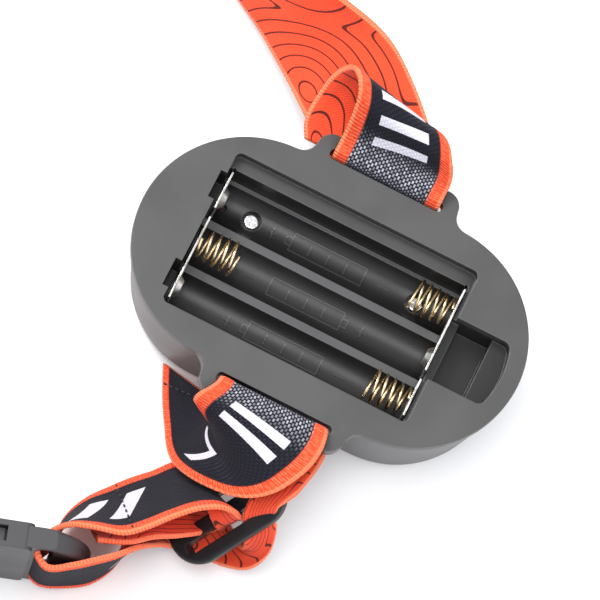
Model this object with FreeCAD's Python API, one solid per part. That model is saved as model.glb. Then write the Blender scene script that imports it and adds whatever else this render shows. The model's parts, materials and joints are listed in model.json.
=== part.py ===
import FreeCAD, Part
import math
import os

# Headlamp lying on its lenses, battery side up. Millimetres, +Z up.
# Origin: middle of the front face, between the two lens rims, on the table.
# +X runs along the batteries, +Y points to the upper strap bar.

V = FreeCAD.Vector
UP = V(0, 0, 1)

# driving dimensions of the case
end_radius = 24.9
end_spacing = 37.8
case_height = 27.0
plate_thick = 2.0
seam_z = 24.4
rim_thick = 1.2
wall = 1.4
draft_inset = 2.3
front_round = 3.2
end_x = end_spacing / 2

# strap bars
ear_half = 16.5
ear_reach = 31.6
ear_thick = 3.0
slot_half = 13.2
slot_inner = 26.3
slot_outer = 28.6

# battery bay, three AAA cells side by side
cell_radius = 5.4
cell_z = 20.2
cell_rows = (9.8, -1.2, -12.2)
bay_left = -30.5
bay_right = 26.3
bay_top_half = 18.4
contact_left = -29.3
contact_right = 24.9
contact_thick = 0.4
tray_wall = 1.0
tray_floor_z = cell_z - cell_radius - tray_wall
ridge_z = cell_z - 2.8
notch_deep = 1.4
spring_turns = 4.6

# optics, board and buttons
bezel_radius = 17.6
collar_radius = 15.0
lens_radius = 13.9
lens_thick = 1.4
frame_z = 9.0
frame_thick = 1.6
board_z = frame_z + frame_thick
board_thick = 1.6
button_y = 13.2
button_radius = 3.9
button_travel = 0.8
screw_x = (-21.6, 17.3)
lead_holes = ((-28.2, cell_rows[0]), (23.6, cell_rows[2]))
board_screw_places = ((-32.0, -8.0), (32.0, 8.0), (0.0, 0.0))

# webbing, 25 mm wide
band_thick = 1.2


def stadium(radius, z):
    """Outline of two half circles joined by straight runs."""
    a = V(end_x, -radius, z)
    b = V(end_x, radius, z)
    c = V(-end_x, radius, z)
    d = V(-end_x, -radius, z)
    right = Part.Arc(a, V(end_x + radius, 0, z), b).toShape()
    left = Part.Arc(c, V(-end_x - radius, 0, z), d).toShape()
    return Part.Wire([right, Part.makeLine(b, c), left, Part.makeLine(d, a)])


def slab(radius, z0, z1):
    return Part.Face(stadium(radius, z0)).extrude(V(0, 0, z1 - z0))


def box(x0, x1, y0, y1, z0, z1):
    return Part.makeBox(x1 - x0, y1 - y0, z1 - z0, V(x0, y0, z0))


def rounded_box(x0, x1, y0, y1, z0, z1, r):
    solid = box(x0, x1, y0, y1, z0, z1)
    upright = [e for e in solid.Edges if abs(e.tangentAt(e.FirstParameter).z) > 0.9]
    return solid.makeFillet(r, upright)


def rod(x, y, z0, z1, r):
    return Part.makeCylinder(r, z1 - z0, V(x, y, z0))


def lengthways(x0, x1, y, z, r):
    return Part.makeCylinder(r, x1 - x0, V(x0, y, z), V(1, 0, 0))


def ear(side):
    """Strap bar with rounded lobes and hollow necks, on the +Y or -Y side."""
    neck_x = 19.8
    neck_r = 3.2
    neck_y = 28.1
    lobe_r = 3.4
    z0 = case_height - ear_thick
    body = box(-neck_x, neck_x, 20.0, neck_y, z0, case_height)
    lobes = box(-ear_half + lobe_r, ear_half - lobe_r, neck_y - 1, ear_reach, z0, case_height)
    middle = box(-ear_half, ear_half, 24.0, ear_reach - lobe_r, z0, case_height)
    shape = body.fuse([lobes, middle])
    for s in (-1, 1):
        shape = shape.fuse(rod(s * (ear_half - lobe_r), ear_reach - lobe_r, z0, case_height, lobe_r))
        shape = shape.cut(rod(s * neck_x, neck_y, z0 - 1, case_height + 1, neck_r))
    outside = slab(end_radius + 0.3, z0 - 1, case_height - plate_thick)
    shape = shape.cut(outside)
    slot = rounded_box(-slot_half, slot_half, slot_inner, slot_outer, z0 - 1, case_height + 1, 1.0)
    shape = shape.cut(slot).removeSplitter()
    if side < 0:
        shape = shape.mirror(V(0, 0, 0), V(0, 1, 0))
    return shape


def rear_case():
    plate = slab(end_radius, case_height - plate_thick, case_height)
    plate = plate.fuse([ear(1), ear(-1)]).removeSplitter()

    tray = box(bay_left - 3.2, bay_right + 1, -18.9, 16.5, ridge_z - 1, case_height - plate_thick)
    for y in cell_rows:
        tray = tray.fuse(lengthways(bay_left - 1, bay_right + 1, y, cell_z, cell_radius + tray_wall))
    tray = tray.common(box(-40, 40, -18.9, 16.5, tray_floor_z, case_height - plate_thick))
    shelf_z = case_height - plate_thick - 1.4
    shelf = box(bay_left - 1.6, bay_right + 1.6, -19.4, 19.4, shelf_z, case_height - plate_thick)
    latch = box(bay_right, 41.0, -8.8, 8.6, 15.8, case_height - plate_thick)
    tray = tray.fuse([shelf, latch]).common(slab(21.9, 5, case_height))

    solid = plate.fuse(tray)

    # opening, with a shelf for the cover along both long sides and the right end
    shelf_top = case_height - 2.3
    solid = solid.cut(rounded_box(bay_left, bay_right, -bay_top_half, bay_top_half, shelf_top, 40, 1.4))
    solid = solid.cut(box(bay_left, bay_right - 0.7, -17.6, 15.2, ridge_z, 40))
    for y in cell_rows:
        solid = solid.cut(lengthways(bay_left, bay_right - 0.7, y, cell_z, cell_radius))
    # notches for the cover's two hooks
    for y0, y1 in ((6.5, 13.0), (-15.2, -8.7)):
        solid = solid.cut(box(bay_left - notch_deep, bay_left + 0.1, y0, y1, 18.4, 40))
    # latch pocket: a deep well and a shallow curved step outside it
    well = box(bay_right + 1.0, 35.0, -7.6, 7.4, 17.4, 40)
    step = box(bay_right - 0.5, 42.0, -7.6, 7.4, case_height - 3.2, 40)
    step = step.common(slab(end_radius - 3.9, 0, 50))
    corners = [e for e in step.Edges if e.BoundBox.XMin > 34 and e.BoundBox.ZLength > 5]
    step = step.makeFillet(1.8, corners)
    rim_gap = box(bay_right - 1, bay_right + 1.1, -7.6, 7.4, case_height - 4.2, 40)
    solid = solid.cut(well.fuse([step, rim_gap]))
    # counterbored holes for the two case screws in the first channel
    for x in screw_x:
        solid = solid.cut(rod(x, cell_rows[0], tray_floor_z + 0.4, 20, 2.2))
        solid = solid.cut(rod(x, cell_rows[0], 10, 20, 1.1))
    # grooves that hold the contact plates
    for x in (contact_left - contact_thick - 0.05, contact_right - 0.05):
        groove = box(x, x + contact_thick + 0.1, -17.9, 15.5, 17.9, 26.0)
        solid = solid.cut(groove)
    # drain of the two leads through the tray ends
    for x, y in lead_holes:
        solid = solid.cut(rod(x, y, 10, 19, 0.75))
    solid = solid.removeSplitter()
    return solid



def front_shell():
    outer = Part.makeLoft([stadium(end_radius - 0.3, seam_z),
                           stadium(end_radius - 0.3 - draft_inset, 0)], True, True)
    bottom = [e for e in outer.Edges if e.BoundBox.ZMax < 0.01]
    outer = outer.makeFillet(front_round, bottom)
    inner = Part.makeLoft([stadium(end_radius - 0.3 - wall, seam_z + 0.01),
                           stadium(end_radius - 1.9 - draft_inset, rim_thick + 2.0)], True, True)
    shell = outer.cut(inner)
    ledge = slab(end_radius - 2.6, frame_z - 1.6, frame_z).cut(slab(20.2, 0, 20))
    shell = shell.fuse(ledge.common(outer))
    for s in (-1, 1):
        shell = shell.cut(rod(s * end_x, 0, -1, rim_thick + 0.02, bezel_radius + 0.05))
        shell = shell.cut(rod(s * end_x, 0, 0, 5, collar_radius + 0.1))
        shell = shell.cut(rod(0, s * button_y, -1, 5, button_radius + 0.35))
    return shell.removeSplitter()


def case_seal():
    ring = slab(end_radius - 1.0, seam_z + 0.02, case_height - plate_thick - 0.02)
    return ring.cut(slab(end_radius - 1.7, 0, 40))


def screw(x, y, z_seat, length, head_r, shank_r):
    head = rod(x, y, z_seat, z_seat + 0.9, head_r)
    top = [e for e in head.Edges if e.BoundBox.ZMin > z_seat + 0.8]
    head = head.makeFillet(0.5, top)
    shank = rod(x, y, z_seat - length, z_seat, shank_r)
    cross = box(x - 1.0, x + 1.0, y - 0.2, y + 0.2, z_seat + 0.4, z_seat + 2)
    other = box(x - 0.2, x + 0.2, y - 1.0, y + 1.0, z_seat + 0.4, z_seat + 2)
    return head.fuse(shank).cut(cross.fuse(other))


def case_screws():
    seat = tray_floor_z + 0.4
    return Part.Compound([screw(x, cell_rows[0], seat, 4.6, 1.7, 0.9) for x in screw_x])


def contact(x, rows, bumps):
    """Plate across one or two channels, with a round bump for each plus pole."""
    y0 = min(rows) - 4.4
    y1 = max(rows) + 4.4
    plate = box(x, x + contact_thick, y0, y1, 18.1, 25.6)
    inward = 1 if x < 0 else -1
    for y in bumps:
        face_x = x + contact_thick if inward > 0 else x
        bump = Part.makeCone(2.6, 1.7, 1.1, V(face_x, y, cell_z), V(inward, 0, 0))
        plate = plate.fuse(bump)
    return plate.removeSplitter()


def coil(x, y, inward):
    """Conical contact spring on a plate."""
    length = 8.6
    wire_r = 0.3
    helix = Part.makeHelix(length / spring_turns, length, 3.1, 4.0)
    profile = Part.Wire([Part.makeCircle(wire_r, V(3.1, 0, 0), V(0, 1, 0))])
    spring = Part.Wire(helix.Edges).makePipeShell([profile], True, True)
    spring.rotate(V(0, 0, 0), V(0, 1, 0), -90)
    if inward > 0:
        spring.rotate(V(0, 0, 0), V(0, 0, 1), 180)
    spring.translate(V(x + inward * (wire_r + 0.02), y, cell_z))
    return spring


def bezel(s):
    """Rim let into the front face, with a collar that holds the lens."""
    ring = rod(s * end_x, 0, 0.05, rim_thick, bezel_radius)
    low = [e for e in ring.Edges if e.BoundBox.ZMax < 0.06]
    ring = ring.makeFillet(0.5, low)
    ring = ring.fuse(rod(s * end_x, 0, rim_thick, 4.2, collar_radius))
    mouth = Part.makeCone(lens_radius + 0.6, lens_radius - 0.6, rim_thick, V(s * end_x, 0, 0))
    return ring.cut(mouth.fuse(rod(s * end_x, 0, rim_thick, 5, lens_radius + 0.05)))


def lens(s):
    return rod(s * end_x, 0, rim_thick, rim_thick + lens_thick, lens_radius)


def reflector(s):
    """Parabolic cup between the lens and the inner frame."""
    z_wide = rim_thick + lens_thick + 0.05
    depth = frame_z - z_wide - 0.02
    focus_r = 3.2
    points = []
    for i in range(9):
        r = focus_r + (lens_radius - 0.9 - focus_r) * i / 8.0
        t = (r - focus_r) / (lens_radius - 0.9 - focus_r)
        points.append(V(r, 0, z_wide + depth * (1 - t ** 1.6)))
    inner = Part.BSplineCurve()
    inner.interpolate(points)
    outer = Part.BSplineCurve()
    outer.interpolate([p + V(0.7, 0, 0) for p in points])
    top = Part.makeLine(points[0], points[0] + V(0.7, 0, 0))
    low = Part.makeLine(points[-1], points[-1] + V(0.7, 0, 0))
    face = Part.Face(Part.Wire([inner.toShape(), low, outer.toShape(), top]))
    cup = face.revolve(V(0, 0, 0), V(0, 0, 1), 360)
    cup.translate(V(s * end_x, 0, 0))
    return cup


def led(s):
    base = box(s * end_x - 2.2, s * end_x + 2.2, -2.2, 2.2, board_z - 0.9, board_z - 0.02)
    dome = Part.makeSphere(1.5, V(s * end_x, 0, board_z - 0.9))
    return base.fuse(dome.common(box(-40, 40, -5, 5, 0, board_z - 0.5)))


def inner_frame():
    frame = slab(20.9, frame_z + 0.02, board_z)
    for s in (-1, 1):
        frame = frame.cut(rod(s * end_x, 0, 0, 20, 3.3))
        frame = frame.cut(box(-3.4, 3.4, s * button_y - 3.4, s * button_y + 3.4, 0, 20))
    for x in screw_x:
        frame = frame.fuse(rod(x, cell_rows[0], board_z - 1, tray_floor_z - 0.05, 2.0))
        frame = frame.cut(rod(x, cell_rows[0], 0, 20, 0.91))
    for x, y in board_screw_places:
        frame = frame.cut(rod(x, y, 0, 20, 0.71))
    return frame



def circuit_board():
    board = slab(19.4, board_z + 0.02, board_z + board_thick)
    for x in screw_x:
        board = board.cut(rod(x, cell_rows[0], 0, 20, 2.3))
    for x, y in board_screw_places:
        board = board.cut(rod(x, y, 0, 20, 0.9))
    return board


def board_screws():
    seat = board_z + board_thick + 0.02
    made = []
    for x, y in board_screw_places:
        head = rod(x, y, seat, seat + 0.5, 1.3)
        made.append(head.fuse(rod(x, y, frame_z + 0.2, seat, 0.7)))
    return Part.Compound(made)


def switch(s):
    y = s * button_y
    body = box(-3.0, 3.0, y - 3.0, y + 3.0, board_z - 2.2, board_z)
    return body.fuse(rod(0, y, board_z - 2.9, board_z - 2.2, 1.6))


def button(s):
    y = s * button_y
    cap = rod(0, y, 0.5, 3.4, button_radius)
    low = [e for e in cap.Edges if e.BoundBox.ZMax < 0.51]
    cap = cap.makeFillet(0.7, low)
    flange = rod(0, y, 3.35, 4.2, button_radius + 1.1)
    stem = rod(0, y, 4.2, board_z - 2.9 - button_travel - 0.1, 1.3)
    return cap.fuse([flange, stem])


def lead(x, y):
    """Short wire from the tray floor, under a contact, down to the board."""
    z_top = tray_floor_z + 0.5
    z_low = board_z + board_thick + 0.02
    return rod(x, y, z_low, z_top, 0.6)


def unit(v):
    return v.multiply(1.0 / v.Length)


def webbing(rows, thick):
    """Flat strap through pairs of edge points, as one ruled solid."""
    sections = []
    last = len(rows) - 1
    middles = [(V(*p) + V(*q)) * 0.5 for p, q in rows]
    for i, (p, q) in enumerate(rows):
        left = V(*p)
        right = V(*q)
        before = unit(middles[i] - middles[i - 1]) if i > 0 else V(0, 0, 0)
        after = unit(middles[i + 1] - middles[i]) if i < last else V(0, 0, 0)
        heading = before + after
        out = unit(heading.cross(right - left)) * (thick / 2)
        corners = [left - out, right - out, right + out, left + out]
        sections.append(Part.makePolygon(corners + corners[:1]))
    return Part.makeLoft(sections, True, True)


# Edge points of the main band, from its sewn tail under the upper strap bar,
# up and over the loop, down through the slot and round the head loop to the plug.
main_rows = [
    ((-19.5, 29.6, 21.6), (4.6, 29.8, 21.6)),
    ((-21.3, 33.5, 22.0), (3.4, 33.6, 22.2)),
    ((-21.2, 38.6, 24.6), (3.8, 37.2, 24.4)),
    ((-20.0, 42.6, 30.0), (4.6, 39.4, 28.6)),
    ((-17.6, 43.4, 36.0), (6.6, 39.6, 32.4)),
    ((-15.2, 40.8, 39.8), (8.8, 37.4, 34.6)),
    ((-13.4, 37.4, 39.2), (10.8, 34.8, 34.0)),
    ((-12.7, 34.4, 35.2), (12.0, 33.3, 31.6)),
    ((-12.5, 32.0, 31.2), (12.5, 31.8, 29.6)),
    ((-12.5, 29.8, 28.9), (12.5, 29.8, 28.5)),
    ((-12.5, 28.1, 28.0), (12.5, 28.1, 28.0)),
    ((-12.5, 27.4, 26.2), (12.5, 27.4, 26.2)),
    ((-12.5, 27.3, 23.4), (12.5, 27.3, 23.4)),
    ((-12.8, 27.9, 20.8), (12.0, 28.1, 20.8)),
    ((-14.2, 29.8, 19.4), (10.4, 33.2, 19.6)),
    ((-16.6, 32.0, 18.8), (5.8, 42.0, 19.8)),
    ((-21.3, 35.4, 17.4), (-5.0, 52.8, 21.4)),
    ((-30.0, 44.0, 12.0), (-14.4, 58.2, 24.0)),
    ((-42.0, 54.6, 5.8), (-29.0, 61.2, 25.6)),
    ((-58.0, 64.0, 2.0), (-52.0, 67.4, 26.2)),
    ((-80.0, 71.0, 1.0), (-78.6, 73.0, 25.9)),
    ((-106.0, 73.0, 1.0), (-105.6, 74.4, 25.9)),
    ((-131.0, 66.0, 1.0), (-131.6, 67.0, 25.9)),
    ((-152.0, 51.0, 1.0), (-153.0, 51.6, 25.9)),
    ((-167.0, 29.0, 1.0), (-168.2, 29.4, 25.9)),
    ((-174.6, 3.0, 1.0), (-175.8, 3.0, 25.9)),
    ((-175.2, -24.0, 1.0), (-176.2, -24.2, 25.9)),
    ((-168.6, -50.0, 1.0), (-169.4, -50.4, 25.9)),
    ((-155.0, -73.0, 1.0), (-155.6, -73.6, 25.9)),
    ((-135.0, -90.0, 1.0), (-135.4, -90.6, 25.9)),
    ((-110.0, -96.8, 1.5), (-110.2, -97.4, 26.4)),
    ((-90.0, -96.0, 2.4), (-90.0, -96.4, 27.4)),
    ((-78.0, -94.6, 2.4), (-78.0, -94.8, 27.4)),
    ((-70.4, -93.4, 2.5), (-70.4, -93.4, 27.5)),
    ((-66.2, -92.0, 2.5), (-66.2, -92.0, 27.5)),
]

# Edge points of the adjuster band, stretch by stretch. The first loops over the
# lower strap bar, from its sewn end beside the case down into the slot.
loop_rows = [
    ((-10.0, -29.8, 17.0), (-24.6, -22.8, 1.4)),
    ((-9.6, -30.4, 16.6), (-22.8, -27.0, 2.0)),
    ((-9.2, -30.9, 16.4), (-20.7, -31.6, 3.5)),
    ((-9.0, -31.4, 16.5), (-18.2, -36.3, 5.5)),
    ((-9.0, -31.8, 16.8), (-15.6, -41.1, 8.0)),
    ((-9.2, -32.2, 17.2), (-12.9, -44.4, 11.5)),
    ((-9.6, -32.6, 17.8), (-9.0, -46.7, 16.0)),
    ((-10.2, -33.1, 18.8), (-3.9, -47.9, 20.0)),
    ((-11.0, -33.6, 20.2), (0.9, -47.9, 22.4)),
    ((-12.4, -34.0, 22.4), (5.1, -46.7, 24.8)),
    ((-14.0, -34.3, 25.2), (8.6, -44.2, 27.2)),
    ((-15.2, -34.2, 27.4), (11.0, -40.6, 28.8)),
    ((-15.0, -33.2, 28.8), (12.6, -36.8, 29.5)),
    ((-13.6, -31.2, 29.0), (13.2, -32.6, 29.3)),
    ((-12.7, -29.4, 28.7), (12.9, -29.6, 28.8)),
    ((-12.5, -28.1, 28.0), (12.5, -28.1, 28.0)),
    ((-12.5, -27.4, 26.2), (12.5, -27.4, 26.2)),
    ((-12.5, -27.3, 23.4), (12.5, -27.3, 23.4)),
]
# on from the slot, through the slider and along the table to the buckle
run_rows = [
    ((-11.4, -27.3, 20.4), (13.4, -28.2, 21.6)),
    ((-7.0, -28.2, 17.4), (14.4, -30.8, 21.6)),
    ((-1.6, -31.2, 18.2), (14.2, -34.8, 22.6)),
    ((2.6, -36.0, 20.6), (13.4, -39.0, 24.4)),
    ((4.4, -42.0, 21.2), (12.4, -42.8, 26.4)),
    ((4.6, -48.4, 18.8), (10.6, -46.0, 24.2)),
    ((5.4, -50.6, 15.6), (10.4, -46.6, 20.6)),
    ((7.4, -52.6, 11.6), (12.4, -48.4, 15.6)),
    ((7.2, -52.6, 7.4), (13.2, -52.2, 10.4)),
    ((2.6, -48.4, 2.8), (11.0, -55.8, 5.6)),
    ((-4.0, -43.6, 1.5), (6.0, -57.0, 2.6)),
    ((-9.4, -42.4, 1.5), (0.4, -57.2, 1.5)),
    ((-12.8, -46.0, 1.5), (-3.8, -58.2, 3.0)),
    ((-15.0, -52.0, 1.5), (-7.0, -60.2, 7.6)),
    ((-16.0, -58.6, 1.5), (-9.8, -63.2, 13.6)),
    ((-14.6, -63.4, 1.5), (-11.8, -66.4, 20.6)),
    ((-15.2, -68.8, 1.5), (-14.6, -70.2, 24.4)),
    ((-17.8, -73.2, 1.5), (-18.0, -73.4, 25.8)),
    ((-22.2, -76.2, 1.8), (-21.9, -76.9, 26.4)),
    ((-26.6, -78.2, 2.8), (-26.2, -79.6, 26.6)),
]
# back from the buckle to the slider's middle bar
return_rows = [
    ((-29.4, -77.2, 2.8), (-29.5, -77.8, 26.8)),
    ((-29.5, -74.2, 2.6), (-29.6, -74.6, 26.8)),
    ((-28.3, -70.4, 2.2), (-28.2, -71.8, 26.8)),
    ((-28.0, -62.6, 2.4), (-25.4, -69.6, 26.6)),
    ((-26.0, -57.4, 2.8), (-21.1, -68.0, 26.2)),
    ((-23.1, -53.4, 3.0), (-15.4, -66.2, 25.8)),
    ((-20.2, -49.8, 3.0), (-11.7, -62.8, 25.2)),
    ((-16.3, -45.8, 3.0), (-8.0, -58.4, 25.0)),
    ((-13.1, -42.0, 3.2), (-4.1, -54.2, 24.2)),
    ((-9.6, -41.6, 5.4), (-0.4, -51.6, 23.2)),
    ((-6.2, -45.0, 9.8), (2.6, -50.6, 21.8)),
    ((-2.6, -50.4, 14.6), (4.2, -50.2, 19.6)),
]
# the end sewn back under the return
tail_rows = [
    ((-2.4, -47.4, 5.8), (0.4, -53.4, 10.6)),
    ((-9.0, -46.6, 3.6), (-5.4, -58.8, 14.4)),
    ((-15.4, -51.0, 3.2), (-9.6, -62.4, 18.6)),
    ((-20.2, -56.6, 3.2), (-13.8, -66.6, 21.8)),
    ((-24.2, -61.8, 3.2), (-19.6, -69.4, 23.0)),
]

# three-bar slider: its near bar's middle, its long axis and the way to its far bar
slider_near = V(5.7, -53.0, 14.2)
slider_along = V(0.455, 0.625, 0.634)
slider_across = V(-0.733, 0.68, 0.0)
slider_length = 30.0
slider_pitch = 5.6
slider_thick = 3.2
slider_bar = 3.1

# side-release buckle: it stands on its edge, axis pointing away from the lamp
buckle_origin = V(-28.9, -75.4, 15.0)
buckle_turn = 198.5
buckle_width = 29.0
buckle_thick = 5.6
plug_travel = 14.0


def placed(shape, origin, x_axis, y_axis):
    """Move a shape made at the origin so that its X and Y follow two directions."""
    x = unit(V(x_axis.x, x_axis.y, x_axis.z))
    z = unit(x.cross(y_axis))
    y = z.cross(x)
    m = FreeCAD.Matrix(x.x, y.x, z.x, origin.x,
                       x.y, y.y, z.y, origin.y,
                       x.z, y.z, z.z, origin.z,
                       0, 0, 0, 1)
    return shape.transformGeometry(m)


def oval(length, breadth, thick, z0):
    r = breadth / 2
    half = length / 2 - r
    solid = box(-half, half, -r, r, z0, z0 + thick)
    for s in (-1, 1):
        solid = solid.fuse(rod(s * half, 0, z0, z0 + thick, r))
    return solid.removeSplitter()


def band_slider():
    ring = oval(slider_length, 2 * slider_pitch + slider_bar, slider_thick, -slider_thick / 2)
    ring = ring.makeFillet(1.1, [e for e in ring.Edges if e.BoundBox.ZLength < 0.01])
    gap = (slider_pitch - slider_bar) / 2
    half = slider_length / 2 - 3.2
    for s in (-1, 1):
        y = s * slider_pitch / 2
        ring = ring.cut(rounded_box(-half, half, y - gap, y + gap, -5, 5, 0.6))
    middle = slider_near + unit(V(slider_across)) * slider_pitch
    return placed(ring, middle, slider_along, slider_across)


def buckle_place(shape):
    """Buckle frame: X along the axis, Y across the width, Z through the thickness."""
    turn = math.radians(buckle_turn)
    axis = V(math.cos(turn), math.sin(turn), 0)
    return placed(shape, buckle_origin, axis, UP)


def buckle_socket():
    half = buckle_width / 2
    t = buckle_thick / 2
    body = rounded_box(2.6, 22.0, -half, half, -t, t, 1.6)
    # bar for the band, with a slot between it and the body, and a rounded end
    corner = 3.6
    tip = Part.Arc(V(-2.4, -half, -2.2), V(-10.2, 0, -2.2), V(-2.4, half, -2.2)).toShape()
    ends = [V(-2.4, half, -2.2), V(corner, half, -2.2), V(corner, -half, -2.2), V(-2.4, -half, -2.2)]
    nose = Part.Face(Part.Wire([tip] + Part.makePolygon(ends).Edges)).extrude(V(0, 0, 4.4))
    rims = [e for e in nose.Edges if e.BoundBox.ZLength < 0.01 and e.BoundBox.XMax < corner - 0.1]
    body = body.fuse(nose.makeFillet(1.0, rims))
    body = body.cut(rounded_box(-1.9, 1.5, -half + 1.2, half - 1.2, -4, 4, 1.0))
    # cavity for the plug and side windows where its arms show
    body = body.cut(box(5.0, 23.0, -half + 1.6, half - 1.6, -t + 1.2, t - 1.2))
    for s in (-1, 1):
        y0 = min(s * (half - 2.0), s * (half + 1))
        body = body.cut(box(8.0, 16.5, y0, y0 + 3.0, -t + 1.2, t - 1.2))
    return buckle_place(body.removeSplitter())


def buckle_plug():
    half = buckle_width / 2
    t = buckle_thick / 2
    base = rounded_box(22.6, 34.0, -half, half, -t, t, 1.6)
    bar = rounded_box(33.0, 44.0, -half, half, -2.2, 2.2, 3.0)
    plug = base.fuse(bar)
    plug = plug.cut(rounded_box(36.2, 39.8, -half + 1.6, half - 1.6, -4, 4, 1.0))
    tongue = box(9.0, 23.0, -3.2, 3.2, -1.2, 1.2)
    plug = plug.fuse(tongue)
    for s in (-1, 1):
        y0 = min(s * 8.6, s * 11.4)
        arm = box(7.0, 23.0, y0, y0 + 2.8, -1.4, 1.4)
        y1 = min(s * 11.3, s * (half - 1.9))
        grip = box(8.4, 16.0, y1, y1 + half - 13.2, -1.4, 1.4)
        plug = plug.fuse([arm, grip])
    return buckle_place(plug.removeSplitter())


def main():
    os.makedirs("parts", exist_ok=True)
    middle, top, bottom = cell_rows[1], cell_rows[0], cell_rows[2]
    spring_left = contact_left
    spring_right = contact_right
    dive = 9  # the row where the band passes under the slider's near bar
    adjuster_parts = (loop_rows, run_rows[:dive], run_rows[dive:], return_rows, tail_rows)
    nodes = {
        "rear_case": rear_case(),
        "front_shell": front_shell(),
        "case_seal": case_seal(),
        "case_screws": case_screws(),
        "contact_plus_top": contact(contact_left - contact_thick, [top], [top]),
        "contact_bridge_left": contact(contact_left - contact_thick, [middle, bottom], [bottom]),
        "contact_bridge_right": contact(contact_right, [top, middle], [middle]),
        "contact_minus_bottom": contact(contact_right, [bottom], []),
        "spring_middle": coil(spring_left, middle, 1),
        "spring_top": coil(spring_right, top, -1),
        "spring_bottom": coil(spring_right, bottom, -1),
        "inner_frame": inner_frame(),
        "circuit_board": circuit_board(),
        "board_screws": board_screws(),
        "plus_wire": lead(*lead_holes[0]),
        "minus_wire": lead(*lead_holes[1]),
        "main_band": webbing(main_rows, band_thick),
        "adjuster_band": Part.Compound([webbing(rows, band_thick) for rows in adjuster_parts]),
        "band_slider": band_slider(),
        "buckle_socket": buckle_socket(),
        "buckle_plug": buckle_plug(),
    }
    for name, s in (("spot", -1), ("flood", 1)):
        nodes[name + "_bezel"] = bezel(s)
        nodes[name + "_lens"] = lens(s)
        nodes[name + "_reflector"] = reflector(s)
        nodes[name + "_led"] = led(s)
        nodes[name + "_switch"] = switch(s)
        nodes[name + "_button"] = button(s)
    for name, shape in nodes.items():
        shape.exportStep("parts/" + name + ".step")
        print(name, round(shape.Volume, 1), shape.isValid())


main()
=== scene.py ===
import json
import math

import bmesh
import bpy
from mathutils import Matrix, Vector, noise


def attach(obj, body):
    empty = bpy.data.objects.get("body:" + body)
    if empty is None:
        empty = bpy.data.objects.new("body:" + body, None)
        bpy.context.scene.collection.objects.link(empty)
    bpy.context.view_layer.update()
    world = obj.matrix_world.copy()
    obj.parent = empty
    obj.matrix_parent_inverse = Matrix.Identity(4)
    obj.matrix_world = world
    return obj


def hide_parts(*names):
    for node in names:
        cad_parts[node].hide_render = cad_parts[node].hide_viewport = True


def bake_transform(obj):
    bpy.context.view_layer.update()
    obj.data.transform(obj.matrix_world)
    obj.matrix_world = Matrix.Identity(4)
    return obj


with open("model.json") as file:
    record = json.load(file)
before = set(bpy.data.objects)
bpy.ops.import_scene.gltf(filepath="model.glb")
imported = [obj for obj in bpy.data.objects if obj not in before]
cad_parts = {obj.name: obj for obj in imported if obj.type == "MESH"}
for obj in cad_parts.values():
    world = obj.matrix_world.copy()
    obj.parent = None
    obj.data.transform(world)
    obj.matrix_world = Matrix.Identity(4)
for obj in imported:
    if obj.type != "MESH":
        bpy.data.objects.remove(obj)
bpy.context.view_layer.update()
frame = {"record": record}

# Headlamp lying on its lenses, battery side up, with its webbing round it.
mm = 0.001
print("frame loaded")


def newFinish(name, colour, rough, metal=0.0):
    finish = bpy.data.materials.new(name)
    finish.use_nodes = True
    finish.diffuse_color = (*colour, 1.0)
    shader = finish.node_tree.nodes["Principled BSDF"]
    shader.inputs["Base Color"].default_value = (*colour, 1.0)
    shader.inputs["Roughness"].default_value = rough
    shader.inputs["Metallic"].default_value = metal
    return finish, finish.node_tree, shader


def put(tree, socket, value):
    if isinstance(value, bpy.types.NodeSocket):
        tree.links.new(value, socket)
    elif value is not None:
        socket.default_value = value


def calc(tree, op, a, b=None, c=None):
    node = tree.nodes.new("ShaderNodeMath")
    node.operation = op
    for i, value in enumerate((a, b, c)):
        put(tree, node.inputs[i], value)
    return node.outputs[0]


def apart(tree, a, b):
    return calc(tree, "ABSOLUTE", calc(tree, "SUBTRACT", a, b))


def newPiece(name, work):
    mesh = bpy.data.meshes.new(name)
    work.to_mesh(mesh)
    work.free()
    piece = bpy.data.objects.new(name, mesh)
    bpy.context.scene.collection.objects.link(piece)
    return piece


def mixColour(tree, factor, a, b):
    node = tree.nodes.new("ShaderNodeMix")
    node.data_type = "RGBA"
    put(tree, node.inputs[0], factor)
    for socket, value in ((node.inputs[6], a), (node.inputs[7], b)):
        put(tree, socket, (*value, 1.0) if isinstance(value, tuple) else value)
    return node.outputs[2]


def grain(tree, vector, scale, detail=2.0, warp=0.0):
    node = tree.nodes.new("ShaderNodeTexNoise")
    put(tree, node.inputs["Vector"], vector)
    node.inputs["Scale"].default_value = scale
    node.inputs["Detail"].default_value = detail
    node.inputs["Distortion"].default_value = warp
    return node.outputs[0]


def ramp(tree, value, low, high, outLow=0.0, outHigh=1.0):
    node = tree.nodes.new("ShaderNodeMapRange")
    node.interpolation_type = "SMOOTHSTEP"
    put(tree, node.inputs[0], value)
    for i, number in enumerate((low, high, outLow, outHigh), 1):
        node.inputs[i].default_value = number
    return node.outputs[0]


def bump(tree, height, depth, normal=None, strength=1.0):
    node = tree.nodes.new("ShaderNodeBump")
    node.inputs["Strength"].default_value = strength
    node.inputs["Distance"].default_value = depth
    put(tree, node.inputs["Height"], height)
    if normal is not None:
        put(tree, node.inputs["Normal"], normal)
    return node.outputs[0]


def objectPlace(tree):
    return tree.nodes.new("ShaderNodeTexCoord").outputs["Object"]


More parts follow.
